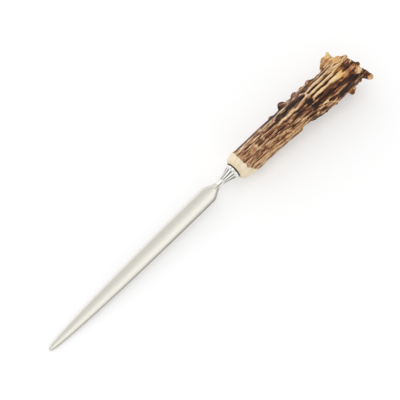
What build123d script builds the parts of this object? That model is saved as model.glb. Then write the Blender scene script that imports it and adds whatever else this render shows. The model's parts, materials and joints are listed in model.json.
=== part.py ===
from build123d import *
import os
from math import asin, atan2, cos, hypot, pi, radians, sin, tan

# Letter opener with a stag antler handle. Lengths are in millimetres, angles in degrees.
# Each piece is shaped along the tool's own axis: +Z runs from the blade's point to the burr, +X lies
# across the blade and +Y comes out of its upper face. At the end the whole tool is laid on a desk.

# Blade: a spear shape with crowned faces, which thins towards its rounded point
blade_length = 131.0
blade_width = 11.3
blade_thickness = 2.4
point_thickness = 1.3
edge_thickness = 0.9
point_edge_thickness = 0.7
point_radius = 1.5
point_sweep = 70
# Distance from the point, and share of the blade's width reached there
blade_edge = [(7.5, 0.43), (15.0, 0.54), (35.0, 0.72), (70.0, 0.9)]
shoulder_length = 8.0
blade_root_width = 4.0

# Tang: a stick behind the blade's root, with notches that key into the cement
tang_width = 2.4
tang_thickness = 1.4
tang_end_width = 1.7
tang_length = 58.0
tang_notches = 3
tang_notch_radius = 0.3
tang_notch_pitch = 9.0
tang_notch_setback = 8.0

# Neck: slipped over the tang, forked over the blade's root, fluted, flared to a collar
neck_length = 14.4
neck_radius = 1.95
neck_stem_length = 4.5
neck_stem_radius = 2.0
neck_fork_length = 2.6
neck_fork_radius = 1.35
flare_angle = 23
collar_radius = 4.9
collar_width = 1.3
collar_step = 0.3
spigot_radius = 2.5
spigot_length = 8.0
slot_clearance = 0.06
# Flutes: the cutter's axis stands off the surface by a share of the cutter's radius
flute_count = 10
flute_turn = 9
flute_narrow_radius = 0.35
flute_wide_radius = 1.1
flute_standoff = 0.15
flute_start = 4.5
flute_end_margin = 1.2

# Cement: fills the bore and shows as a line under the collar
cement_line = 0.5
cement_overhang = 0.15

# Antler: distance behind its front face, mean radius of the bark and sideways bend of its heart
shaft_stations = [
    (0.0, 8.85, -0.9),
    (30.0, 9.1, -1.6),
    (50.0, 9.5, -2.8),
    (70.0, 10.35, -4.3),
    (95.0, 10.5, -5.1),
]
ridge_count = 14
ridge_height = 0.4
ridge_unevenness = 0.35
ridge_phase = 155
ridge_twist = 16
bore_radius = 3.0
bore_spare = 2.0
# Carved front: a dome from the face to the edge of the bark
face_radius = 6.2
dome_length = 6.0
dome_bulge = 0.7

# Burr: a slanted coronet with a domed end
burr_distance = 96.3
burr_slant = 12
burr_radius = 11.0
burr_front_length = 9.0
burr_back_length = 2.6
burr_end_radius = 7.4
burr_dome = 0.8
# Pearls round the burr: angle from the upper face towards +X, lean to the rear, reach from the heart, radius
burr_pearls = [
    (76, -5, 16.6, 1.3),
    (52, -8, 12.2, 2.0),
    (24, -4, 12.2, 2.0),
    (-2, 2, 11.6, 1.8),
    (-25, 13, 12.8, 1.4),
    (-42, 5, 13.0, 1.9),
    (-88, 22, 16.0, 2.2),
    (-128, 8, 11.8, 1.9),
    (112, -6, 13.6, 2.0),
    (180, 2, 11.4, 2.0),
]
# Two more that the burr rests on, one each side of its lowest line
rest_pearl_distance = 93.0
rest_pearl_spread = 32
rest_pearl_reach = 16.5
rest_pearl_radius = 2.2
# Pearls along the shaft: distance, angle, height above the bark, radius
shaft_pearls = [
    (39.0, 72, 1.2, 1.2),
    (49.0, 72, 3.2, 2.7),
    (59.3, 70, 1.8, 2.4),
    (65.6, 74, 1.5, 1.6),
    (71.2, 71, 1.8, 2.0),
    (84.8, 72, 2.4, 2.2),
    (89.4, 72, 5.4, 1.7),
    (92.4, 74, 3.6, 2.0),
    (87.8, -105, 3.2, 1.8),
    (67.0, -104, 1.0, 1.6),
    (76.0, -108, 1.1, 1.6),
    (55.0, 128, 1.8, 1.9),
    (80.0, 140, 1.6, 1.8),
    (36.0, -150, 0.9, 1.4),
    (62.0, -142, 1.2, 1.7),
]
pearl_root_depth = 3.5
pearl_root_flare = 1.7

# Places along the tool's axis
blade_root = blade_length + shoulder_length
tang_end = blade_root + tang_length
collar_back = blade_root + neck_length
collar_front = collar_back - collar_width
antler_front = collar_back + cement_line
bore_end = tang_end + bore_spare


def between(distance, column):
    """Mean radius (column 1) or bend (column 2) of the antler at a distance behind its front face."""
    for near, far in zip(shaft_stations, shaft_stations[1:]):
        if distance <= far[0]:
            break
    share = (distance - near[0]) / (far[0] - near[0])
    return near[column] + share * (far[column] - near[column])


def lens(plane, middle, edge):
    """Crowned section of the blade with blunt edges, and a flat lip past them."""
    half = blade_width / 2
    lip = half + edge
    with BuildSketch(plane) as section:
        with BuildLine():
            ThreePointArc((-half, edge / 2), (0, middle / 2), (half, edge / 2))
            Polyline((half, edge / 2), (lip, edge / 2), (lip, -edge / 2), (half, -edge / 2))
            ThreePointArc((half, -edge / 2), (0, -middle / 2), (-half, -edge / 2))
            Polyline((-half, -edge / 2), (-lip, -edge / 2), (-lip, edge / 2), (-half, edge / 2))
        make_face()
    return section.sketch


with BuildPart() as blade:
    half_width = blade_width / 2
    nose = radians(point_sweep)
    nose_end = (point_radius * sin(nose), point_radius * (1 - cos(nose)))
    nose_middle = (point_radius * sin(nose / 2), point_radius * (1 - cos(nose / 2)))
    edge_points = [(half_width * share, distance) for distance, share in blade_edge]
    with BuildSketch(Plane.XZ):
        with BuildLine():
            ThreePointArc((0, 0), nose_middle, nose_end)
            Spline(
                nose_end,
                *edge_points,
                (half_width, blade_length),
                tangents=((cos(nose), sin(nose)), (0, 1)),
            )
            Spline(
                (half_width, blade_length),
                (blade_root_width / 2, blade_root),
                tangents=((0, 1), (0, 1)),
            )
            Line((blade_root_width / 2, blade_root), (0, blade_root))
            mirror(about=Plane.YZ)
        make_face()
    extrude(amount=blade_thickness, both=True)
    point_section = lens(Plane.XY, point_thickness, point_edge_thickness)
    root_section = lens(Plane.XY.offset(blade_root), blade_thickness, edge_thickness)
    loft([point_section, root_section], mode=Mode.INTERSECT)
    with BuildSketch(Plane.XY.offset(blade_root)):
        Rectangle(tang_width, tang_thickness)
    with BuildSketch(Plane.XY.offset(tang_end)):
        Rectangle(tang_end_width, tang_thickness)
    loft()
    for notch in range(tang_notches):
        height = tang_end - tang_notch_setback - notch * tang_notch_pitch
        taper = (tang_end - height) / tang_length
        notch_x = (tang_end_width + taper * (tang_width - tang_end_width)) / 2
        with Locations((notch_x, 0, height), (-notch_x, 0, height)):
            Cylinder(tang_notch_radius, 2 * tang_thickness, rotation=(90, 0, 0), mode=Mode.SUBTRACT)

with BuildPart() as flute:
    flare_end_radius = collar_radius - collar_step
    flute_end_radius = flare_end_radius - tan(radians(flare_angle)) * flute_end_margin
    flute_start_point = Vector(
        neck_stem_radius + flute_standoff * flute_narrow_radius,
        0,
        blade_root + flute_start,
    )
    flute_end_point = Vector(
        flute_end_radius + flute_standoff * flute_wide_radius,
        0,
        collar_front - flute_end_margin,
    )
    flute_axis = flute_end_point - flute_start_point
    with BuildSketch(Plane(origin=flute_start_point, z_dir=flute_axis)):
        Circle(flute_narrow_radius)
    with BuildSketch(Plane(origin=flute_end_point, z_dir=flute_axis)):
        Circle(flute_wide_radius)
    loft()
    with Locations(flute_start_point):
        Sphere(flute_narrow_radius)
    with Locations(flute_end_point):
        Sphere(flute_wide_radius)

with BuildPart() as neck_bolster:
    fork_front = blade_root - neck_fork_length
    spigot_end = collar_back + spigot_length
    with BuildSketch(Plane.XZ):
        with BuildLine():
            Line((0, fork_front), (neck_fork_radius, fork_front))
            Spline(
                (neck_fork_radius, fork_front),
                (neck_radius, blade_root),
                (neck_stem_radius, blade_root + neck_stem_length),
                (flare_end_radius, collar_front),
                tangents=((1, 1), (sin(radians(flare_angle)), cos(radians(flare_angle)))),
            )
            ThreePointArc(
                (flare_end_radius, collar_front),
                (collar_radius, (collar_front + collar_back) / 2),
                (flare_end_radius, collar_back),
            )
            Polyline(
                (flare_end_radius, collar_back),
                (spigot_radius, collar_back),
                (spigot_radius, spigot_end),
                (0, spigot_end),
                (0, fork_front),
            )
        make_face()
    revolve(axis=Axis.Z)
    with PolarLocations(0, flute_count, start_angle=flute_turn):
        add(flute.part, mode=Mode.SUBTRACT)
    with BuildSketch(Plane.XY.offset(fork_front)):
        Rectangle(2 * collar_radius, blade_thickness + 2 * slot_clearance)
    extrude(amount=neck_fork_length, mode=Mode.SUBTRACT)
    with BuildSketch(Plane.XY.offset(blade_root)):
        Rectangle(tang_width + 2 * slot_clearance, tang_thickness + 2 * slot_clearance)
    extrude(amount=neck_length + spigot_length, mode=Mode.SUBTRACT)

with BuildPart() as tang_cement:
    with BuildSketch(Plane.XY.offset(collar_back)):
        Circle(collar_radius + cement_overhang)
    extrude(amount=cement_line)
    with BuildSketch(Plane.XY.offset(collar_back)):
        Circle(bore_radius)
    extrude(amount=bore_end - collar_back)
    with BuildSketch(Plane.XY.offset(collar_back)):
        Circle(spigot_radius)
    extrude(amount=spigot_length, mode=Mode.SUBTRACT)
    add(blade.part, mode=Mode.SUBTRACT)


def heart(distance):
    """Point on the antler's heart line at a distance behind its front face."""
    return Vector(between(distance, 2), 0, antler_front + distance)


def pearl(origin, outwards, root, reach, radius):
    """Rounded horn that starts at a root inside the antler and swells out along a line from its heart."""
    line = Plane(origin=origin, z_dir=outwards)
    with Locations(line.offset(root)):
        Cone(
            pearl_root_flare * radius,
            radius,
            reach - radius - root,
            align=(Align.CENTER, Align.CENTER, Align.MIN),
        )
    with Locations(line.offset(reach - radius)):
        Sphere(radius)


with BuildPart() as pearls:
    burr_heart = heart(burr_distance)
    burr_root = burr_radius - pearl_root_depth
    for angle, lean, reach, radius in burr_pearls:
        level = cos(radians(lean))
        outwards = (sin(radians(angle)) * level, cos(radians(angle)) * level, sin(radians(lean)))
        pearl(burr_heart, outwards, burr_root, reach, radius)
    for side in (-1, 1):
        spread = radians(rest_pearl_spread)
        outwards = (side * sin(spread), -cos(spread), 0)
        pearl(heart(rest_pearl_distance), outwards, burr_root, rest_pearl_reach, rest_pearl_radius)
    for distance, angle, rise, radius in shaft_pearls:
        bark_radius = between(distance, 1)
        outwards = (sin(radians(angle)), cos(radians(angle)), 0)
        pearl(heart(distance), outwards, bark_radius - pearl_root_depth, bark_radius + rise, radius)

with BuildPart() as antler_handle:
    for distance, radius, bend in shaft_stations:
        with BuildSketch(Plane.XY.offset(antler_front + distance)):
            with BuildLine():
                bark = []
                for corner in range(2 * ridge_count):
                    angle = pi * corner / ridge_count + radians(ridge_twist) * distance / burr_distance
                    share = 1 - ridge_unevenness * (1 - sin(radians(ridge_phase * corner)))
                    reach = radius + ridge_height * share * (-1) ** corner
                    bark.append((bend + reach * sin(angle), reach * cos(angle)))
                Spline(*bark, periodic=True)
            make_face()
    loft()
    front_radius = shaft_stations[0][1] + ridge_height
    clear_radius = 2 * burr_radius
    clear_height = 2 * burr_heart.Z
    dome_back = antler_front + dome_length
    dome_middle = (
        (face_radius + front_radius) / 2 + dome_bulge,
        antler_front + dome_length / 2 - dome_bulge,
    )
    with BuildSketch(Plane.XZ):
        with BuildLine():
            Line((0, antler_front), (face_radius, antler_front))
            ThreePointArc((face_radius, antler_front), dome_middle, (front_radius, dome_back))
            Polyline(
                (front_radius, dome_back),
                (clear_radius, dome_back),
                (clear_radius, clear_height),
                (0, clear_height),
                (0, antler_front),
            )
        make_face()
    revolve(axis=Axis.Z, mode=Mode.INTERSECT)
    slant = radians(burr_slant)
    burr_axis = Axis(burr_heart, (sin(slant), 0, cos(slant)))
    burr_plane = Plane(origin=burr_heart, x_dir=(cos(slant), 0, -sin(slant)), z_dir=(0, -1, 0))
    burr_rim_middle = (
        burr_end_radius + (burr_radius - burr_end_radius) * cos(pi / 4),
        burr_back_length * sin(pi / 4),
    )
    with BuildSketch(burr_plane):
        with BuildLine():
            Polyline(
                (0, burr_back_length + burr_dome),
                (0, -burr_front_length),
                (burr_end_radius, -burr_front_length),
                (burr_radius, 0),
            )
            ThreePointArc((burr_radius, 0), burr_rim_middle, (burr_end_radius, burr_back_length))
            Line((burr_end_radius, burr_back_length), (0, burr_back_length + burr_dome))
        make_face()
    revolve(axis=burr_axis)
    add(pearls.part)
    with BuildSketch(Plane.XY.offset(antler_front)):
        Circle(bore_radius)
    extrude(amount=bore_end - antler_front, mode=Mode.SUBTRACT)

# The tool lies on the blade's point and on the two rest pearls, which tilts its axis
rest_pearl_depth = (rest_pearl_reach - rest_pearl_radius) * cos(radians(rest_pearl_spread))
rest_drop = rest_pearl_depth - point_thickness / 2
rest_height = antler_front + rest_pearl_distance
tilt = asin(rest_pearl_radius / hypot(rest_height, rest_drop)) + atan2(rest_drop, rest_height)
lying = Plane(origin=(0, 0, 0), x_dir=(0, 1, 0), z_dir=(cos(tilt), 0, sin(tilt))).location
pieces = {
    "blade": blade,
    "neck_bolster": neck_bolster,
    "tang_cement": tang_cement,
    "antler_handle": antler_handle,
}
outline = Compound(children=[piece.part.moved(lying) for piece in pieces.values()]).bounding_box()
on_desk = Location((-outline.center().X, -outline.center().Y, -outline.min.Z)) * lying

os.makedirs("parts", exist_ok=True)
for name, piece in pieces.items():
    piece.part.label = name
    piece.part.move(on_desk)
    export_step(piece.part, f"parts/{name}.step")
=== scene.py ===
import json
import math
import bmesh
import bpy
import numpy as np
from mathutils import Matrix, Vector, noise


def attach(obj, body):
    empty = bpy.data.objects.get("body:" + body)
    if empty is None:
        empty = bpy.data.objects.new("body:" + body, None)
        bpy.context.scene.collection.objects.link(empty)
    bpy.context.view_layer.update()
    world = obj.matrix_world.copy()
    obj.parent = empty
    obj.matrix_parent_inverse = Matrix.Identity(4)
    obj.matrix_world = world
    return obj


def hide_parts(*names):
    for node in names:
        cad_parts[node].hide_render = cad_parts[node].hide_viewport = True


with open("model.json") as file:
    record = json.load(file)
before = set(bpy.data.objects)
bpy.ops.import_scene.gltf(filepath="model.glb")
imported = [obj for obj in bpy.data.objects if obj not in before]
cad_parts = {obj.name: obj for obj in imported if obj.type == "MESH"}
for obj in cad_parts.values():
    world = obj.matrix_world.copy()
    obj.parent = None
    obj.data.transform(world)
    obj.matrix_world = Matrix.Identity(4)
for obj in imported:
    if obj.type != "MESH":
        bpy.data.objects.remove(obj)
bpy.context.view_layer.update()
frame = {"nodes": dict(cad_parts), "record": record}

# The blade is one slim bar of steel, ground to a spear outline with crowned faces and blunt round edges.
# It is satin polished along its length, and its tang runs on through the neck into the antler.
# Sizes are in millimetres along the tool: x across the blade, y out of its upper face, z from the point.

slide = next(mount for mount in frame["record"]["mounts"] if mount["name"] == "blade_slide")
point = np.array(slide["pos_m"])
lengthwise = -np.array(slide["axis"])
crosswise = np.array((0.0, 1.0, 0.0))
upward = np.cross(lengthwise, crosswise)


def laid(tool):
    """Points on the tool's own axis, in millimetres, as they lie on the desk, in metres."""
    return point + (tool[:, :1] * crosswise + tool[:, 1:2] * upward + tool[:, 2:3] * lengthwise) / 1000


def flowing(places, knots, values, first=None, last=None):
    """Smooth curve through a few values, with its slopes at both ends where they are given."""
    knots, values = np.array(knots, float), np.array(values, float)
    runs = np.diff(values) / np.diff(knots)
    slopes = np.concatenate([runs[:1], (runs[1:] + runs[:-1]) / 2, runs[-1:]])
    slopes[0] = slopes[0] if first is None else first
    slopes[-1] = slopes[-1] if last is None else last
    span = np.clip(np.searchsorted(knots, places, side="right") - 1, 0, len(knots) - 2)
    gap = knots[span + 1] - knots[span]
    u = np.clip((places - knots[span]) / gap, 0, 1)
    return (
        values[span] * (1 + 2 * u) * (1 - u) ** 2
        + values[span + 1] * u**2 * (3 - 2 * u)
        + gap * u * (1 - u) * (slopes[span] * (1 - u) - slopes[span + 1] * u)
    )


def eased(low, high, values):
    """0 below low, 1 above high and a soft step between."""
    u = np.clip((values - low) / (high - low), 0, 1)
    return u * u * (3 - 2 * u)


def ring_at(height, across, up):
    """One ring of points at a height along the tool."""
    return np.stack([across, up, np.full(len(across), height)], 1)


def skinned(name, rings, smooth=True):
    """Closed tube over rings of points, capped at both ends."""
    rings = np.array(rings)
    count, around = rings.shape[:2]
    faces = [tuple(range(around))[::-1], tuple(range((count - 1) * around, count * around))]
    for ring in range(count - 1):
        for step in range(around):
            after = (step + 1) % around
            low, high = ring * around, (ring + 1) * around
            faces.append((low + step, low + after, high + after, high + step))
    mesh = bpy.data.meshes.new(name)
    mesh.from_pydata(laid(rings.reshape(-1, 3)).tolist(), [], faces)
    mesh.polygons.foreach_set("use_smooth", [smooth] * len(mesh.polygons))
    piece = bpy.data.objects.new(name, mesh)
    bpy.context.scene.collection.objects.link(piece)
    return piece


class Wire:
    """A socket in a finish. Arithmetic on it adds Math nodes to the same node tree."""

    def __init__(self, tree, socket=None):
        self.tree = tree
        self.socket = socket

    def node(self, kind, settings=None, inputs=None, output=0):
        """A node of that type: its settings first, then the values or links of its sockets."""
        made = self.tree.nodes.new(kind)
        for name, value in (settings or {}).items():
            setattr(made, name, value)
        for name, value in (inputs or {}).items():
            if isinstance(value, Wire):
                self.tree.links.new(value.socket, made.inputs[name])
            else:
                made.inputs[name].default_value = value
        return Wire(self.tree, made.outputs[output] if made.outputs else None)

    def maths(self, operation, *values):
        return self.node("ShaderNodeMath", {"operation": operation}, dict(enumerate(values)))

    def __add__(self, other):
        return self.maths("ADD", self, other)

    __radd__ = __add__

    def __sub__(self, other):
        return self.maths("SUBTRACT", self, other)

    def __rsub__(self, other):
        return self.maths("SUBTRACT", other, self)

    def __mul__(self, other):
        return self.maths("MULTIPLY", self, other)

    __rmul__ = __mul__

    def blended(self, first, second):
        """Two colours mixed with this value as the share of the second."""
        return self.node(
            "ShaderNodeMix",
            {"data_type": "RGBA", "blend_type": "MIX", "clamp_factor": True},
            {0: self, 6: first, 7: second},
            output=2,
        )

    def coloured(self, *stops):
        """A colour ramp over this value, with the place and the colour of each stop."""
        ramped = self.node("ShaderNodeValToRGB", {}, {0: self})
        elements = ramped.socket.node.color_ramp.elements
        elements[0].position, elements[1].position = stops[0][0], stops[-1][0]
        for place, colour in stops[1:-1]:
            elements.new(place)
        for element, (place, colour) in zip(elements, stops):
            element.color = colour
        return ramped

    def grained(self, place, scales, detail):
        """Noise at a place, with its scales per metre along the three axes."""
        scaled = self.node("ShaderNodeVectorMath", {"operation": "MULTIPLY"}, {0: place, 1: scales})
        return self.node(
            "ShaderNodeTexNoise",
            {},
            {"Vector": scaled, "Scale": 1.0, "Detail": detail, "Roughness": 0.6},
        )

    def stepped(self, low, high):
        """0 below low, 1 above high and a soft step between."""
        return self.node(
            "ShaderNodeMapRange",
            {"interpolation_type": "SMOOTHSTEP"},
            {"Value": self, "From Min": low, "From Max": high},
        )

    def lined(self, width):
        """1 along thin lines where the noise passes its middle, 0 away from them."""
        return 1 - self.maths("ABSOLUTE", self - 0.5).stepped(0.0, width)


def finish_of(name, made):
    """A new material. The function made gets its empty tree and gives back the surface."""
    material = bpy.data.materials.new(name)
    material.use_nodes = True
    material.node_tree.nodes.clear()
    tree = Wire(material.node_tree)
    tree.node("ShaderNodeOutputMaterial", {}, {"Surface": made(tree)})
    return material


def srgb(red, green, blue):
    """A colour from 11 to 255 as it is seen, in linear light and opaque."""
    return (*(((share / 255 + 0.055) / 1.055) ** 2.4 for share in (red, green, blue)), 1.0)


blade_end = 131.0
blade_root = 140.6
blade_half = 5.65
root_half = 2.0
point_round = 1.5
nose_end = 0.99
tang_end = 197.0
tang_half_thick = 0.7
blade_points = 64

heights = np.concatenate([
    1.6 * (1 - np.cos(np.linspace(0.12, math.pi / 2, 14))),
    np.linspace(2.2, 126.0, 90),
    np.linspace(126.8, blade_root, 26),
])
nose = np.sqrt(np.clip(point_round**2 - (point_round - heights) ** 2, 0, None))
edge = flowing(
    heights,
    [nose_end, 7.5, 15, 35, 70, blade_end],
    blade_half * np.array([0.25, 0.43, 0.54, 0.72, 0.9, 1]),
    first=0.36,
    last=0.0,
)
shoulder = flowing(heights, [blade_end, blade_root], [blade_half, root_half], first=0.0, last=-0.1)
half_widths = np.where(heights < nose_end, nose, np.where(heights < blade_end, edge, shoulder))
half_thicks = np.interp(heights, [0, blade_root], [0.65, 1.2])
half_thicks *= np.sqrt(1 - np.clip(1 - heights / 1.3, 0, 1) ** 2)
turns = np.linspace(0, 2 * math.pi, blade_points, endpoint=False)
bow = np.sign(np.sin(turns)) * np.abs(np.sin(turns)) ** 0.9
blade = skinned(
    "satin_blade",
    [
        ring_at(height, half_width * np.cos(turns), half_thick * bow)
        for height, half_width, half_thick in zip(heights, half_widths, half_thicks)
    ],
)
tang_corners = np.array([(1, 1), (-1, 1), (-1, -1), (1, -1)])
tang = skinned(
    "blade_tang",
    [
        ring_at(height, half_width * tang_corners[:, 0], tang_half_thick * tang_corners[:, 1])
        for height, half_width in ((blade_root - 1, 1.2), (blade_root, 1.2), (tang_end, 0.85))
    ],
    smooth=False,
)


def satin_steel(tree):
    place = tree.node("ShaderNodeTexCoord", output=3)
    lines = tree.grained(place, (40, 3600, 3600), 3.0)
    cloud = tree.grained(place, (25, 90, 90), 2.0)
    rough = 0.22 + 0.05 * lines + 0.03 * cloud
    colour = lines.stepped(0.25, 0.75).blended(srgb(205, 202, 193), srgb(211, 208, 199))
    bump = tree.node("ShaderNodeBump", {}, {"Strength": 0.08, "Distance": 0.00002, "Height": lines})
    return tree.node(
        "ShaderNodeBsdfPrincipled",
        {},
        {"Base Color": colour, "Metallic": 1.0, "Roughness": rough, "Normal": bump},
    )


blade_finish = finish_of("satin_steel", satin_steel)
for piece in (blade, tang):
    piece.data.materials.append(blade_finish)
    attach(piece, "root")
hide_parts("blade")

# The neck is a turned bolster of bright metal, slipped over the tang and forked over the blade's root. Long
# flutes are cut into it, and it flares to a round collar that seats on the antler. The lands of the flutes
# and the sides of the stem are painted dark and matt as painted dark reflections, the collar's back edge is
# painted dark as the shade and dark reflection in the joint, and the fork is ground satin with the blade.

fork_front = 136.4
fork_back = 139.0
stem_end = 143.5
flute_end = 150.9
collar_front = 152.1
collar_back = 153.4
flare_radius = 4.6
collar_bulge = 0.3
flute_count = 10
flute_turn = math.radians(9)
flute_rounding = 0.05
stem_turn = math.radians(16)
fork_rings = 6
neck_points = 240

neck_heights = np.concatenate([
    fork_front + 0.5 * (1 - np.cos(np.linspace(0.0, math.pi / 2, fork_rings))),
    np.linspace(137.0, collar_front, 90),
    np.linspace(collar_front + 0.08, collar_back, 17),
])
flare = flowing(
    neck_heights,
    [fork_front, fork_back, stem_end, collar_front],
    [1.35, 1.95, 2.0, flare_radius],
    first=0.5,
    last=0.42,
)
collar_middle, collar_half = (collar_back + collar_front) / 2, (collar_back - collar_front) / 2
off_middle = (neck_heights - collar_middle) / collar_half
bead = flare_radius + collar_bulge * np.sqrt(np.clip(1 - off_middle**2, 0, 1))
profile = np.where(neck_heights < collar_front, flare, bead)
profile[:fork_rings] *= np.sqrt(np.linspace(0.35, 1, fork_rings))
neck_turns = np.linspace(0, 2 * math.pi, neck_points, endpoint=False)
flute_pitch = 2 * math.pi / flute_count
off_centre = (neck_turns - flute_turn + flute_pitch / 2) % flute_pitch - flute_pitch / 2
neck_rings = []
dark_reflection_shares = []
satin_shares = []
for height, radius in zip(neck_heights, profile):
    # A round cutter that grows along the flute takes its bite out of the flare
    share = np.clip((height - stem_end) / (flute_end - stem_end), 0, 1)
    cutter = 0.35 + 0.75 * share
    past = max(stem_end - height, height - flute_end, 0)
    bite = np.sqrt(max(cutter**2 - past**2, 0))
    cutter_heart = 2.05 + 2.15 * share
    depth = np.sqrt(np.clip(bite**2 - (radius * off_centre) ** 2, 0, None)) + radius - cutter_heart
    depth = np.where(bite > 0, depth, -1)
    depth = flute_rounding * np.log1p(np.exp(np.clip(depth / flute_rounding, -40, 40)))
    reach = radius - depth
    neck_rings.append(ring_at(height, reach * np.cos(neck_turns), reach * np.sin(neck_turns)))

    # Painted dark reflections: the lands, and two lines down the stem's sides, are darkened to stand for
    # reflections of dark surroundings; the collar's back edge is darkened as painted shade and dark
    # reflection in the joint
    off_land = radius * (flute_pitch / 2 - np.abs(off_centre))
    past_stem = eased(stem_end - 0.5, stem_end + 1.5, height)
    fluted = past_stem * (1 - eased(flute_end - 0.2, flute_end + 0.9, height))
    land_dark_reflection = fluted * np.exp(-((off_land / (0.26 + 0.14 * share)) ** 2))
    past_fork = eased(fork_back + 0.6, fork_back + 2.0, height)
    on_stem = past_fork * (1 - eased(stem_end + 0.5, stem_end + 3.0, height))
    stem_side_dark_reflection = 0.75 * on_stem * np.exp(-((np.sin(neck_turns - stem_turn) / 0.4) ** 2))
    collar_joint_shade = 0.85 * eased(collar_back - 0.6, collar_back - 0.3, height)
    dark_reflection_shares.append(np.maximum(np.maximum(land_dark_reflection, stem_side_dark_reflection), collar_joint_shade))
    satin_shares.append(np.full(neck_points, 1 - eased(fork_back, blade_root + 0.4, height)))
neck = skinned("fluted_neck", neck_rings)


def marked(mesh, name, values):
    """Values at the mesh's points, kept for its finish."""
    mesh.attributes.new(name, "FLOAT", "POINT").data.foreach_set("value", values.astype(np.float32))


marked(neck.data, "dark_reflection_paint", np.concatenate(dark_reflection_shares))
marked(neck.data, "satin", np.concatenate(satin_shares))


def bright_polish(tree):
    place = tree.node("ShaderNodeTexCoord", output=3)
    scratches = tree.grained(place, (400, 3800, 3800), 3.0)
    haze = tree.grained(place, (300, 300, 300), 2.0)
    # Painted dark reflections and joint shade from the mesh: darker, rougher and not metallic
    painted_dark = tree.node("ShaderNodeAttribute", {"attribute_name": "dark_reflection_paint"}, output=2)
    satin = tree.node("ShaderNodeAttribute", {"attribute_name": "satin"}, output=2)
    rough = 0.07 + 0.08 * scratches.stepped(0.45, 0.8) + 0.05 * haze + 0.5 * painted_dark + 0.14 * satin
    polish = haze.blended(srgb(230, 229, 224), srgb(243, 242, 238))
    polish_with_painted_dark = painted_dark.blended(polish, srgb(56, 51, 44))
    colour = satin.blended(polish_with_painted_dark, srgb(208, 205, 196))
    bump = tree.node("ShaderNodeBump", {}, {"Strength": 0.15, "Distance": 0.00002, "Height": scratches})
    return tree.node(
        "ShaderNodeBsdfPrincipled",
        {},
        {"Base Color": colour, "Metallic": 1 - painted_dark, "Roughness": rough, "Normal": bump},
    )


neck.data.materials.append(finish_of("bright_polish", bright_polish))
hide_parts("neck_bolster")
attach(neck, "root")

# The cement is dark resin, poured round the tang in the antler's bore.
# It shows only as a thin line between the collar and the bone, and that dark ring also stands in as painted
# shade for the gap of the joint.

cement = frame["nodes"]["tang_cement"]


def resin_and_gap_shade(tree):
    place = tree.node("ShaderNodeTexCoord", output=3)
    grit = tree.grained(place, (2500, 2500, 2500), 3.0)
    # Dark resin colour; where its ring shows at the joint it is partly painted shade for the gap
    colour = grit.stepped(0.3, 0.7).blended(srgb(44, 40, 36), srgb(88, 82, 74))
    bump = tree.node("ShaderNodeBump", {}, {"Strength": 0.4, "Distance": 0.0001, "Height": grit})
    return tree.node(
        "ShaderNodeBsdfPrincipled",
        {},
        {"Base Color": colour, "Roughness": 0.45 + 0.25 * grit, "Normal": bump},
    )


cement.data.materials.clear()
cement.data.materials.append(finish_of("resin_and_gap_shade", resin_and_gap_shade))

# The handle is one natural piece of stag antler: brown bark with long pale ridges and dark gutters, pearls
# along its sides, and the burr where it grew from the skull. Its front end is carved down to bare bone.
# Distances run back from the carved face, and angles run from the upper side towards +x, in degrees.

antler_front = 153.9
heart_stations = [0.0, 30.0, 50.0, 70.0, 95.0]
bark_radii = [8.85, 9.1, 9.5, 10.35, 10.5]
heart_bends = [-0.9, -1.6, -2.8, -4.3, -5.1]
mm_per_degree = 9.6 * math.pi / 180
burr_distance = 96.3
burr_slant = math.radians(12)

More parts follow.
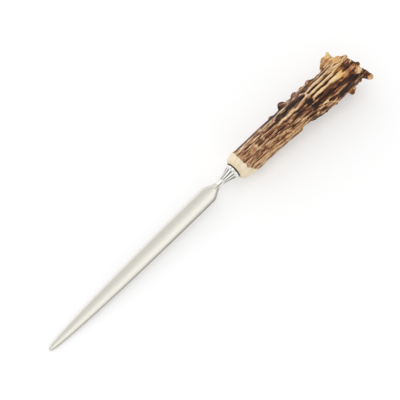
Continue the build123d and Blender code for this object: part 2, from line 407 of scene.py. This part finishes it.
# Growth lines of the bark: tone, lift in mm, half width in mm, and the line's (distance, angle) points
growth_lines = [
    # Pale ridges
    (0.42, 0.3, 0.9, [(5, 40), (12, 40), (20, 41), (28, 41), (34, 40), (37, 38)]),
    (0.32, 0.35, 0.8, [(34.5, 20), (37, 27), (40, 34), (43, 41), (46.5, 40)]),
    (0.30, 0.3, 0.8, [(46, 40), (50, 44), (52, 54), (53.5, 68), (54.5, 85)]),
    (0.40, 0.35, 0.9, [(24, -3), (28, 1), (33, 2), (38, 0), (43, 1)]),
    (0.38, 0.4, 0.9, [(43, 1), (47, 2.5), (52, 3), (56, 5), (59.5, 9.5), (61.5, 15), (63, 21)]),
    (0.35, 0.35, 0.7, [(60.8, 40), (61.3, 34), (62, 27), (63, 21)]),
    (0.22, 0.2, 0.7, [(40, -31), (44, -34.5), (48, -35), (52, -33), (55.5, -31)]),
    (0.38, 0.4, 1.0, [(63, 22), (66, 25), (70, 28), (75, 28), (80, 28), (84, 26), (90, 24)]),
    (0.38, 0.4, 0.9, [(64.5, 7), (67, 8.5), (72, 9), (77, 10), (82, 12), (86, 13.5), (90, 18), (94, 18)]),
    (0.45, 0.45, 1.0, [
        (63, -17), (64.4, -11.5), (66.3, -7), (70, -7), (75, -8), (80, -7.5), (85, -6.5), (89, -5),
    ]),
    (0.20, 0.1, 1.4, [(79, -7), (84, -8), (88, -8)]),
    (0.35, 0.35, 0.8, [(66, -49), (69, -46), (72, -45.5), (75, -48), (78, -51), (82, -50.5), (86, -50)]),
    (0.33, 0.35, 0.7, [(68, -49), (70, -56), (72, -65), (74, -76), (76, -92)]),
    (0.30, 0.3, 0.8, [(60, -71), (61.5, -64), (63, -57.5), (66, -55)]),
    (0.22, 0.2, 1.2, [(63, -56), (65.5, -57)]),
    (0.10, 0.15, 1.2, [(10, -62), (20, -64), (30, -63), (40, -64), (50, -60)]),
    (0.12, 0.15, 1.0, [(43, -56), (47, -55), (51, -52)]),
    (0.16, 0.15, 0.6, [(16, 26), (20, 26)]),
    (0.18, 0.15, 0.6, [(24.5, -15), (28, -16), (33, -15)]),
    (0.10, 0.1, 0.7, [(5.5, -5), (9, -6), (13, -8), (18, -9)]),
    (0.14, 0.1, 0.6, [(15, -31), (18, -31)]),
    (0.16, 0.15, 0.6, [(18, -45), (20, -45), (22, -47)]),
    (0.14, 0.1, 0.6, [(24, -32), (27, -33)]),
    (0.12, 0.1, 0.7, [(10, -33), (14, -32)]),
    (0.14, 0.1, 0.6, [(36, -12), (41, -14), (46, -14)]),
    (0.14, 0.1, 0.6, [(31, -38), (36, -40)]),
    (0.04, 0.65, 2.6, [(54, 72), (60, 72), (68, 72), (75, 72)]),
    # Dark gutters
    (-0.34, -0.3, 0.5, [(10.5, 16), (15, 16.5), (20, 16), (24, 17)]),
    (-0.40, -0.5, 1.2, [(23, 17), (27, 17), (31, 15), (35, 15)]),
    (-0.48, -0.7, 1.7, [(35, 16), (40, 17.5), (44, 19), (48, 24)]),
    (-0.55, -0.9, 2.0, [(47, 25), (51, 30), (55, 30), (59, 26.5), (60.5, 24)]),
    (-0.25, -0.3, 0.6, [(48, 16), (52, 17), (56, 20)]),
    (-0.35, -0.4, 0.8, [(19, -9), (23, -11)]),
    (-0.45, -0.5, 0.65, [(24, -9), (28, -8), (32, -5), (35, -7), (39, -9), (42, -9)]),
    (-0.48, -0.6, 1.0, [(49, -8), (52, -10), (55, -9), (57, -6)]),
    (-0.58, -0.9, 1.4, [(57.6, -3), (60.3, -5), (62.4, -9)]),
    (-0.50, -0.6, 1.2, [(59.4, -12), (61.9, -14)]),
    (-0.20, -0.2, 0.5, [(5, -2), (9, -2), (13, -1.5)]),
    (-0.18, -0.2, 0.6, [(13, -5), (17, -6)]),
    (-0.30, -0.35, 0.55, [(12.5, -23), (16, -24), (20, -25), (22, -27)]),
    (-0.38, -0.4, 0.55, [(26.5, -24), (30, -24), (33, -24)]),
    (-0.26, -0.3, 0.7, [(33, -22), (37, -24), (40, -28), (41, -30)]),
    (-0.38, -0.45, 0.9, [(41.5, -24), (46, -25), (51, -25), (55, -24)]),
    (-0.22, -0.2, 0.5, [(4.5, -14), (6.5, -17), (9, -19), (12, -21)]),
    (-0.28, -0.3, 0.7, [(20.5, -40), (22.5, -45), (26, -47), (30, -46.5)]),
    (-0.25, -0.3, 0.6, [(15, -41), (18, -42)]),
    (-0.30, -0.35, 0.7, [(42.5, -41), (46, -44), (48.5, -45)]),
    (-0.30, -0.3, 0.6, [(50, -40), (53, -42), (56, -44), (59, -43)]),
    (-0.30, -0.3, 0.7, [(10.5, -50), (12.5, -50)]),
    (-0.25, -0.25, 0.6, [(10.5, -66), (12.5, -68)]),
    (-0.28, -0.25, 0.5, [(12, 32), (13.5, 33)]),
    (-0.18, -0.15, 0.4, [(7.5, 20), (10, 20)]),
    (-0.14, -0.1, 0.4, [(8, 12), (10, 12)]),
    (-0.24, -0.2, 0.5, [(15, 32), (20, 32)]),
    (-0.26, -0.2, 0.7, [(20.5, 30), (24, 28)]),
    (-0.22, -0.2, 0.5, [(17.5, 5), (20, 5)]),
    (-0.12, -0.1, 0.5, [(21, 10), (25, 10)]),
    (-0.22, -0.2, 0.5, [(13, -39), (16, -41), (20, -40)]),
    (-0.16, -0.1, 0.6, [(5, -52), (8.5, -52)]),
    (-0.24, -0.2, 0.5, [(20, -28), (22, -28)]),
    (-0.18, -0.15, 0.45, [(26, -36), (29, -36)]),
    (-0.20, -0.2, 0.5, [(16.5, -55), (19.5, -55)]),
    (-0.25, -0.25, 0.6, [(30, -52), (34, -53)]),
    (-0.25, -0.25, 0.6, [(35, -52), (39, -53), (42.5, -56)]),
    (-0.25, -0.2, 0.6, [(33, -68), (36, -69)]),
    (-0.45, -0.5, 0.9, [(53.5, -54), (57, -57), (60, -57)]),
    (-0.50, -0.6, 1.6, [(62.5, -64), (65, -68), (67, -70)]),
    (-0.30, -0.4, 0.8, [(55, -72), (58, -78), (62, -88), (64, -100)]),
    (-0.52, -0.8, 1.5, [(60.5, -30), (63, -33), (64.5, -37)]),
    (-0.50, -0.7, 1.6, [(60, -44), (62.5, -44)]),
    (-0.48, -0.7, 1.1, [(65.5, -31), (70, -33), (74, -34), (78, -35)]),
    (-0.38, -0.5, 0.9, [(78, -35), (83, -36), (88, -37), (92, -39)]),
    (-0.50, -0.6, 1.0, [(64.5, -14), (67, -16), (70, -16)]),
    (-0.35, -0.45, 0.8, [(70, -16), (75, -18), (80, -19.5), (83, -20)]),
    (-0.60, -0.45, 0.55, [(64, 17.5), (68, 18), (72, 17.5), (76, 17), (80, 18.5), (83, 18)]),
    (-0.60, -0.4, 0.5, [(64.5, 2), (67, 1), (71, 2), (75, 1), (80, 1), (84, 2), (87, 3.5)]),
    (-0.50, -0.6, 1.3, [(71, -54), (74, -57), (77, -59)]),
    (-0.42, -0.5, 1.6, [(79, -60), (84, -62), (89, -60), (93, -58)]),
    (-0.40, -0.5, 1.8, [(77, -73), (83, -75), (90, -75)]),
    (-0.36, -0.2, 2.4, [(78, -95), (83, -98), (93, -98)]),
    (-0.32, -0.2, 0.9, [(54, -97), (58, -99), (61, -100)]),
    (-0.30, -0.4, 0.9, [(89.5, -9), (92, -10), (94, -12)]),
    (-0.26, -0.3, 1.1, [(90.5, 5), (93, 3)]),
    (-0.48, -0.5, 1.6, [(88, -46), (92, -48), (95, -55)]),
    (-0.62, -0.25, 3.4, [(4, 61), (15, 61), (25, 61), (45, 62)]),
    (-0.30, -0.3, 1.0, [(60, 45), (64, 37), (66, 36)]),
    (-0.40, -0.3, 1.0, [(72, 62), (76, 64), (80, 64), (84, 62)]),
]

# Patches of colour: distance, angle, length and width in mm, then shift of tone, amber and rust
stain_patches = [
    (93.2, 70, 3.2, 6, 0.33, 1.6, 0.0),
    (89, 74, 2.8, 4, 0.31, 0.2, 0.0),
    (89, 58, 2.2, 1.6, -0.25, 0.3, 0.2),
    (86, 74, 2.0, 3, 0.14, 0.2, 0.0),
    (39, 72, 2.5, 2.5, 0.42, 0.0, 0.3),
    (94, 55, 5, 4, 0.0, 0.9, 0.1),
    (88, -20, 4, 2.4, 0.06, 1.2, 0.1),
    (88, 0, 4, 3.5, -0.04, 1.0, 0.0),
    (84, 72, 3, 4, -0.04, 0.3, 0.0),
    (94, 6, 3.5, 3, -0.06, 0.1, 0.8),
    (93.5, -14, 3, 2, -0.08, 0.1, 0.8),
    (92, -26, 4, 2, -0.05, 0.3, 0.8),
    (56.5, -28, 3, 3.5, -0.10, 0.0, 1.0),
    (56, 42, 4, 3, -0.05, 0.1, 0.4),
    (76, -24, 7, 1.6, 0.05, 0.0, 0.8),
    (82, -66, 8, 2.5, 0.05, 0.0, 0.8),
    (97.5, -42, 2.6, 2.4, 0.95, 0.1, 0.0),
    (99.5, -25, 3, 2.5, -0.45, 0.0, 0.5),
    (49, 72, 4, 4, -0.24, 0.0, 0.4),
    (101, -85, 7, 6, -0.38, 0.0, 0.8),
    (57, 72, 4, 4, 0.06, 0.0, 0.8),
    (88, -96, 2.5, 3, 0.2, 0.6, 0.0),
    (65, 72, 5, 4, 0.06, 0.1, 0.1),
    (20, -30, 18, 8, 0.0, 0.1, 0.4),
    (40, -60, 25, 5, 0.0, 0.4, 0.0),
]

# Knobs that are drawn over a few knots: distance, angle, reach and radius of each knot
knobs = [
    # Broad pearl, knob on the rim of the burr, and long low pearl
    [(49.2, 72, 9.7, 3.2)],
    [(96.6, 28, 10.2, 1.5), (97.8, 26, 10.2, 1.3)],
    [(38.0, 72, 8.9, 1.4), (40.2, 72, 8.9, 1.4)],
    # Crown of the burr, a web round its two tallest pearls
    [
        (83.2, 72, 10.6, 1.2), (85.6, 72, 12.6, 1.2), (88.3, 72, 15.2, 1.2), (90.2, 72, 15.0, 1.1),
        (92.0, 73, 13.6, 1.2), (86.0, 60, 9.5, 1.5), (86.0, 84, 9.5, 1.5), (93.0, 62, 9.5, 1.5),
        (93.0, 86, 9.5, 1.5),
    ],
    [
        (94.0, 75, 16.3, 1.1), (94.8, 75, 15.4, 1.0), (92.0, 73, 13.6, 1.2), (95.2, 75, 12.4, 1.2),
        (95.4, 66, 10.0, 1.4), (95.4, 84, 10.0, 1.4), (91.0, 66, 10.0, 1.5),
    ],
]

source = bmesh.new()
for knots in knobs:
    shell = bmesh.new()
    for place, turn, reach, size in knots:
        centre = np.array([(
            np.interp(place, heart_stations, heart_bends) + reach * math.sin(math.radians(turn)),
            reach * math.cos(math.radians(turn)),
            antler_front + place,
        )])
        seat = Matrix.Translation(laid(centre)[0])
        bmesh.ops.create_icosphere(shell, subdivisions=2, radius=size / 1000, matrix=seat)
    bmesh.ops.delete(shell, geom=shell.edges[:], context="EDGES_FACES")
    hull = bmesh.ops.convex_hull(shell, input=shell.verts[:])
    inner = {part for part in hull["geom_interior"] if isinstance(part, bmesh.types.BMVert)}
    bmesh.ops.delete(shell, geom=list(inner), context="VERTS")
    knob_mesh = bpy.data.meshes.new("antler_knob")
    shell.to_mesh(knob_mesh)
    shell.free()
    source.from_mesh(knob_mesh)
source.from_mesh(frame["nodes"]["antler_handle"].data)
bmesh.ops.remove_doubles(source, verts=source.verts, dist=1e-6)
rough_mesh = bpy.data.meshes.new("antler_blank")
source.to_mesh(rough_mesh)
source.free()
blank = bpy.data.objects.new("antler_blank", rough_mesh)
bpy.context.scene.collection.objects.link(blank)
remesh = blank.modifiers.new("even_skin", "REMESH")
remesh.mode = "VOXEL"
remesh.voxel_size = 0.000333
antler_mesh = bpy.data.meshes.new_from_object(blank.evaluated_get(bpy.context.evaluated_depsgraph_get()))
bpy.data.objects.remove(blank)
antler = bpy.data.objects.new("stag_antler", antler_mesh)
bpy.context.scene.collection.objects.link(antler)

count = len(antler_mesh.vertices)
places = np.empty(count * 3)
antler_mesh.vertices.foreach_get("co", places)
places = (places.reshape(-1, 3) - point) * 1000
tool = np.stack([places @ crosswise, places @ upward, places @ lengthwise], 1)
ends = np.empty(len(antler_mesh.edges) * 2, int)
antler_mesh.edges.foreach_get("vertices", ends)
ends = ends.reshape(-1, 2)
valence = np.bincount(ends.ravel(), minlength=count)[:, None]


def relaxed(values, share):
    """Values at the skin's points, each moved by a share towards the mean of its neighbours."""
    total = np.zeros_like(values)
    np.add.at(total, ends[:, 0], values[ends[:, 1]])
    np.add.at(total, ends[:, 1], values[ends[:, 0]])
    return values + share * (total / valence - values)


def round_the_heart(tool):
    """Distance, angle, radius, and the mean radius of the bark there."""
    distance = tool[:, 2] - antler_front
    sideways = tool[:, 0] - np.interp(distance, heart_stations, heart_bends)
    return (
        distance,
        np.degrees(np.arctan2(sideways, tool[:, 1])),
        np.hypot(sideways, tool[:, 1]),
        np.interp(distance, heart_stations, bark_radii),
    )


def outward_at(angle):
    """Unit steps away from the heart."""
    return np.stack([np.sin(np.radians(angle)), np.cos(np.radians(angle)), np.zeros(len(angle))], 1)


# The solid's even ripples give way to the growth lines that are drawn below
distance, angle, radius, bark = round_the_heart(tool)
outer = (radius > 4.2) | (distance > 80)
proud = radius - bark
on_shaft = eased(7, 9, distance) * (1 - eased(91, 95, distance)) * outer
ironed = proud * (0.15 + 0.85 * eased(0.35, 1.3, np.abs(proud)))
tool += (on_shaft * (ironed - proud))[:, None] * outward_at(angle)
for relaxing in range(8):
    tool = np.where(outer[:, None], relaxed(tool, 0.5), tool)

# The crown is steep at its rear, the bone slimmer at its upper corner, the shaft hollow below, and the burr
# notched before its last pearl
distance, angle, radius, bark = round_the_heart(tool)
crown_rear = eased(8.5, 11.0, radius) * (1 - 0.65 * eased(14.0, 16.5, radius)) * eased(45, 60, angle)
slimmed = 0.75 * eased(25, 60, angle) * (1 - eased(2.0, 6.5, distance))
slimmed *= np.clip((radius - 4.8) / 3.5, 0, 1) * outer
hollow = 1.8 * eased(47, 50, distance) * (1 - eased(55, 61, distance)) * eased(5, 8, radius)
hollow *= np.exp(-(((angle + 108) / 25) ** 2))
notch = 1.6 * np.exp(-(((distance - 98.2) / 1.5) ** 2) - ((angle + 103) / 13) ** 2) * eased(7, 9, radius)
tool[:, 2] -= 2.2 * crown_rear * eased(91, 96, distance)
tool -= (slimmed + hollow + notch)[:, None] * outward_at(angle)

distance, angle, radius, bark = round_the_heart(tool)
straight = radius[:, None] * outward_at(angle)
straight[:, 2] = distance


def streaks(across, along, shift):
    """Noise drawn out along the antler, from -1 to 1: sizes in mm."""
    scaled = straight / (across, across, along) + shift
    return np.array([noise.noise(Vector(row)) for row in scaled])


def thin_lines(values, width):
    """Thin lines where the noise passes through nought."""
    return 1 - eased(0, width, np.abs(values))


broad = streaks(2.6, 26.0, 3.0)
medium = streaks(1.1, 9.0, 11.0)
fine = streaks(0.6, 6.0, 29.0)
lumps = streaks(2.4, 3.4, 47.0)
pale_veins = thin_lines(streaks(1.7, 15.0, 61.0), 0.28)
dark_veins = thin_lines(streaks(1.6, 13.0, 83.0), 0.28)

# Each growth line tapers to its ends and wanders a little
sway = 0.9 * eased(10, 25, distance) * (1 - 0.75 * eased(56, 66, distance))
arc = angle * mm_per_degree + sway * streaks(3.5, 4.5, 97.0)
tone_lines = np.zeros(count)
lift_lines = np.zeros(count)
drawn = np.zeros(count)
slim = 0.84 + 0.2 * eased(30, 60, distance)
for line_tone, line_lift, half, line in growth_lines:
    nearest = np.full(count, 1e9)
    along = np.zeros(count)
    passed = 0.0
    line = np.array(line, float) * (1, mm_per_degree)
    for start, stop in zip(line[:-1], line[1:]):
        run = stop - start
        length = math.hypot(*run)
        share = np.clip(((distance - start[0]) * run[0] + (arc - start[1]) * run[1]) / length**2, 0, 1)
        off = np.hypot(distance - start[0] - share * run[0], arc - start[1] - share * run[1])
        along = np.where(off < nearest, passed + share * length, along)
        nearest = np.minimum(nearest, off)
        passed += length
    pointed = 0.55 + 0.45 * eased(0, min(3.0, passed / 2), np.minimum(along, passed - along))
    wander = half * slim * pointed * (1 + 0.5 * medium + 0.4 * lumps)
    mark = np.exp(-((nearest / np.maximum(wander, 0.15)) ** 2))
    tone_lines += line_tone * mark
    lift_lines += line_lift * mark
    drawn = np.maximum(drawn, mark)

# The bark starts behind the carved bone, at a ragged edge
edge_of_bark = np.interp(
    angle,
    [-180, -106, -69, -44, -10, 25, 55, 80, 180],
    [11.0, 11.0, 8.0, 5.5, 4.8, 5.0, 6.4, 7.0, 8.0],
)
edge_of_bark += 0.35 * broad + 0.5 * medium + 0.3 * fine
covered = eased(-0.25, 0.35, distance - edge_of_bark) * outer

# The end of the burr, where it broke from the skull, is a seal of porous bone with an uneven edge
burr_axis = np.array((math.sin(burr_slant), 0, math.cos(burr_slant)))
from_burr = tool - (heart_bends[-1], 0, antler_front + burr_distance)
behind = from_burr @ burr_axis
pits = np.array([noise.noise(Vector(row)) for row in from_burr / 0.9])
off_axis = np.sqrt(np.clip((from_burr**2).sum(1) - behind**2, 0, None)) + 0.9 * lumps + 0.5 * pits
at_end = eased(1.2, 2.0, behind)
seal = eased(5.9, 5.0, off_axis) * at_end
seal_groove = np.exp(-((off_axis - 5.6) ** 2) / 0.3) * at_end
covered *= 1 - seal * np.clip(0.62 - 0.7 * pits, 0.2, 0.95)

# Tone of the bark, from dark gutters at 0 to pale bone at 1, calmer on the pearls and on the crown
rear = eased(32, 60, distance)
seen = eased(-105, -85, angle) * (1 - eased(70, 90, angle))
base = np.interp(distance, [0, 20, 40, 60, 75, 95], [0.55, 0.54, 0.48, 0.455, 0.45, 0.505])
# Painted light: the lower side of the front is made paler to stand for the light the table throws up onto it
base += 0.12 * eased(-40, -60, angle) * (1 - eased(20, 55, distance))
base -= 0.04 * eased(-40, -30, angle) * eased(10, 0, angle) * (1 - rear)
proud = radius - bark
knob = eased(0.7, 1.6, proud)
crown = knob * eased(80, 86, distance) * eased(30, 50, angle)
plain = (1 - 0.6 * drawn) * (1 - 0.6 * knob) * (1 - 0.7 * crown)
wild = (0.14 + 0.30 * rear) * (1 - 0.7 * np.maximum(seen, knob))
tone = base + tone_lines * (0.65 + 0.35 * eased(20, 50, distance)) + wild * (1.3 * broad + 0.8 * medium)
tone += plain * (0.13 * pale_veins - 0.16 * dark_veins + (0.07 + 0.06 * rear) * medium + 0.13 * fine)
amber = np.zeros(count)
rust = np.zeros(count)
for place, turn, long, wide, lighter, gold, red in stain_patches:
    reach = ((distance - place) / long) ** 2 + ((arc - turn * mm_per_degree) / wide) ** 2
    near = np.clip(np.exp(-reach) * (1 + 0.9 * medium + 0.7 * lumps), 0, 1)
    tone += lighter * near
    amber += gold * near
    rust += red * near
tall_tips = 0.12 * eased(13.4, 15.4, radius)
last_tip = 0.6 * eased(12.6, 13.6, radius) * eased(98, 99.5, distance) * eased(-60, -70, angle)
tone += 0.1 * seal - 0.3 * seal_groove + tall_tips + last_tip
smooth = np.maximum(drawn * (0.3 + 0.38 * rear), 0.75 * eased(0.68, 0.88, tone))
smooth = np.maximum(smooth, 0.65 * crown)
# Painted sheen: the upper side of the front half is made less saturated to stand for the pale sheen of the
# surroundings on it, and the rear's lower side is made a little richer
painted_sheen = eased(5, 35, angle) * (0.5 + 0.5 * eased(20, 45, distance)) * (1 - eased(60, 68, distance))
rich = 0.5 * eased(55, 70, distance) * (1 - eased(0, 30, angle))
richness_and_sheen = 1 + 0.14 * (rich - painted_sheen)

# Height of the relief in mm
flank = np.maximum(eased(50, 75, angle), eased(-70, -90, angle)) * rear
lift = lift_lines * (1 - 0.7 * knob) + (0.1 + 0.25 * rear) * (1 - 0.5 * seen) * (0.9 * broad + 0.5 * medium)
lift += plain * (0.16 * pale_veins - 0.22 * dark_veins) + 0.08 * fine
lift += lumps * (0.06 + 0.14 * knob + 0.5 * flank)
lift *= covered * np.maximum(eased(4.2, 5.5, radius), eased(80, 85, distance))
lift += seal * (0.15 * lumps - 0.3 * eased(0.0, 0.5, pits)) - 0.35 * seal_groove
lift += (1 - covered) * outer * (0.03 * broad + 0.02 * fine)

antler_mesh.vertices.foreach_set("co", laid(tool).ravel())
antler_mesh.update()
normals = np.empty(count * 3)
antler_mesh.vertex_normals.foreach_get("vector", normals)
normals = normals.reshape(-1, 3)
antler_mesh.vertices.foreach_set("co", (laid(tool) + normals * lift[:, None] / 1000).ravel())
antler_mesh.polygons.foreach_set("use_smooth", [True] * len(antler_mesh.polygons))
antler_mesh.update()
marked(antler_mesh, "tone", np.clip(tone, 0, 1))
marked(antler_mesh, "bark", covered)
marked(antler_mesh, "amber", np.clip(amber, 0, 1))
marked(antler_mesh, "rust", np.clip(rust, 0, 1))
marked(antler_mesh, "smooth", smooth)
marked(antler_mesh, "richness_and_sheen", richness_and_sheen)
growth = antler_mesh.attributes.new("growth", "FLOAT_VECTOR", "POINT")
growth.data.foreach_set("vector", (straight / 1000).ravel().astype(np.float32))


def antler_skin(tree):
    growth = tree.node("ShaderNodeAttribute", {"attribute_name": "growth"}, output=1)
    tone, bark, amber, rust, smooth, richness_and_sheen = (
        tree.node("ShaderNodeAttribute", {"attribute_name": name}, output=2)
        for name in ("tone", "bark", "amber", "rust", "smooth", "richness_and_sheen")
    )
    fibres = tree.grained(growth, (1350, 1350, 130), 2.0).stepped(0.36, 0.64)
    hairs = tree.grained(growth, (2400, 2400, 240), 2.0).stepped(0.36, 0.64)
    pores = tree.grained(growth, (2600, 2600, 1300), 2.0)
    mottle = tree.grained(growth, (300, 300, 60), 3.0)
    flecks = tree.grained(growth, (900, 900, 420), 1.0)
    come_and_go = tree.grained(growth, (700, 700, 120), 1.0).stepped(0.42, 0.58)
    cracks = tree.grained(growth, (680, 680, 48), 1.0).lined(0.16) * come_and_go
    threads = tree.grained(growth, (600, 600, 44), 1.0).lined(0.13)
    grain = 0.26 * (fibres - 0.5) + 0.2 * (hairs - 0.5) + 0.1 * (mottle - 0.5) + 0.8 * (flecks - 0.5)
    shade = tone + (1 - smooth) * (grain - 0.4 * cracks + 0.24 * threads)
    brown = shade.coloured(
        (0.0, srgb(36, 23, 17)),
        (0.18, srgb(64, 39, 26)),
        (0.36, srgb(114, 72, 47)),
        (0.54, srgb(166, 118, 82)),
        (0.72, srgb(209, 171, 128)),
        (0.9, srgb(237, 214, 172)),
    )
    golden = shade.coloured((0.1, srgb(92, 58, 26)), (0.45, srgb(180, 122, 58)), (0.85, srgb(228, 186, 116)))
    rusty = shade.coloured((0.0, srgb(36, 20, 17)), (0.4, srgb(112, 62, 44)), (0.8, srgb(196, 140, 104)))
    stained = (0.7 * rust).blended((0.6 * amber).blended(brown, golden), rusty)
    # The saturation carries the painted sheen on the upper side as well as the richer rear
    resaturated = tree.node("ShaderNodeHueSaturation", {}, {"Saturation": richness_and_sheen, "Color": stained})
    bone = mottle.stepped(0.3, 0.75).blended(srgb(228, 209, 175), srgb(242, 230, 206))
    colour = bark.blended(bone, resaturated)
    rough = 0.42 + 0.2 * bark - 0.12 * tone * bark + 0.12 * (fibres - 0.5)
    height = bark * (0.5 * fibres + 0.4 * pores - 0.8 * cracks + 0.4 * threads) + 0.15 * pores
    bump = tree.node("ShaderNodeBump", {}, {"Strength": 0.5, "Distance": 0.00025, "Height": height})
    return tree.node(
        "ShaderNodeBsdfPrincipled",
        {},
        {"Base Color": colour, "Roughness": rough, "Normal": bump, "Specular IOR Level": 0.25},
    )


antler_mesh.materials.clear()
antler_mesh.materials.append(finish_of("antler_skin", antler_skin))
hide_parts("antler_handle")
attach(antler, "root")

# The stage is a plain pale table under soft studio light: a long panel overhead, a key panel from the side
# and an even white tent round them, with a dark gap in it on the near side.


def pale_table(tree):
    straight = tree.node("ShaderNodeLightPath", output=0)
    gloss = tree.node("ShaderNodeLightPath", output=3)
    through = tree.node("ShaderNodeLightPath", output=6)
    seen = straight.maths("MAXIMUM", straight, gloss.maths("MAXIMUM", gloss, through))
    colour = seen.blended((0.9, 0.9, 0.9, 1), (1, 1, 1, 1))
    cloth = tree.node("ShaderNodeBsdfDiffuse", {}, {"Color": colour})
    white = tree.node("ShaderNodeEmission", {}, {"Color": (1, 1, 1, 1), "Strength": 1.0})
    return tree.node("ShaderNodeMixShader", {}, {0: 0.35 * seen, 1: cloth, 2: white})


floor_mesh = bpy.data.meshes.new("table")
floor_mesh.from_pydata([(-4, -4, 0), (4, -4, 0), (4, 4, 0), (-4, 4, 0)], [], [(0, 1, 2, 3)])
floor = bpy.data.objects.new("table", floor_mesh)
floor_mesh.materials.append(finish_of("pale_table", pale_table))
bpy.context.scene.collection.objects.link(floor)


def panel(name, place, width, depth, watts):
    """A soft rectangular lamp that looks at the tool, its width along it."""
    lamp = bpy.data.lights.new(name, "AREA")
    lamp.shape = "RECTANGLE"
    lamp.size, lamp.size_y, lamp.energy = width, depth, watts
    holder = bpy.data.objects.new(name, lamp)
    back = Vector(place).normalized()
    side = (Vector((1, 0, 0)) - back * back.x).normalized()
    turn = Matrix((side, back.cross(side), back)).transposed().to_4x4()
    holder.matrix_world = Matrix.Translation(place) @ turn
    bpy.context.scene.collection.objects.link(holder)


panel("overhead_panel", (0.2, 0.09, 0.9), 1.5, 0.3, 0.9)
panel("key_panel", (-0.1, 1.0, 0.6), 1.4, 0.6, 1.7)

world = bpy.data.worlds.new("studio")
world.use_nodes = True
world.node_tree.nodes.clear()
studio = Wire(world.node_tree)
heading = studio.node("ShaderNodeTexCoord", output=0)
across = studio.node("ShaderNodeSeparateXYZ", {}, {0: heading}, output=1)
gap_heading = (0.28, -0.58, 0.765)
gap = studio.node(
    "ShaderNodeVectorMath", {"operation": "DOT_PRODUCT"}, {0: heading, 1: gap_heading}, output=1
)
tent = 1.0 - 0.05 * across.stepped(-0.6, 0.2)
glow = tent * (1 - 0.65 * gap.stepped(0.9, 0.97))
studio.node(
    "ShaderNodeOutputWorld",
    {},
    {"Surface": studio.node("ShaderNodeBackground", {}, {"Color": (1, 1, 1, 1), "Strength": glow})},
)
bpy.context.scene.world = world
bpy.context.scene.view_settings.view_transform = "Standard"

aim = Vector((-0.002846, 0.005774, 0.008))
heading_angle, look_down, camera_distance = math.radians(45.746), math.radians(67), 0.9
focal_pixels, picture_pixels = 1509, 400
right = Vector((math.cos(heading_angle), -math.sin(heading_angle), 0))
level = Vector((math.sin(heading_angle), math.cos(heading_angle), 0))
ahead = level * math.cos(look_down) - Vector((0, 0, 1)) * math.sin(look_down)
camera = bpy.data.objects.new("camera", bpy.data.cameras.new("camera"))
camera.data.sensor_width = 36
camera.data.lens = camera.data.sensor_width * focal_pixels / picture_pixels
camera_turn = Matrix((right, right.cross(ahead), -ahead)).transposed().to_4x4()
camera.matrix_world = Matrix.Translation(aim - ahead * camera_distance) @ camera_turn
bpy.context.scene.collection.objects.link(camera)
bpy.context.scene.camera = camera
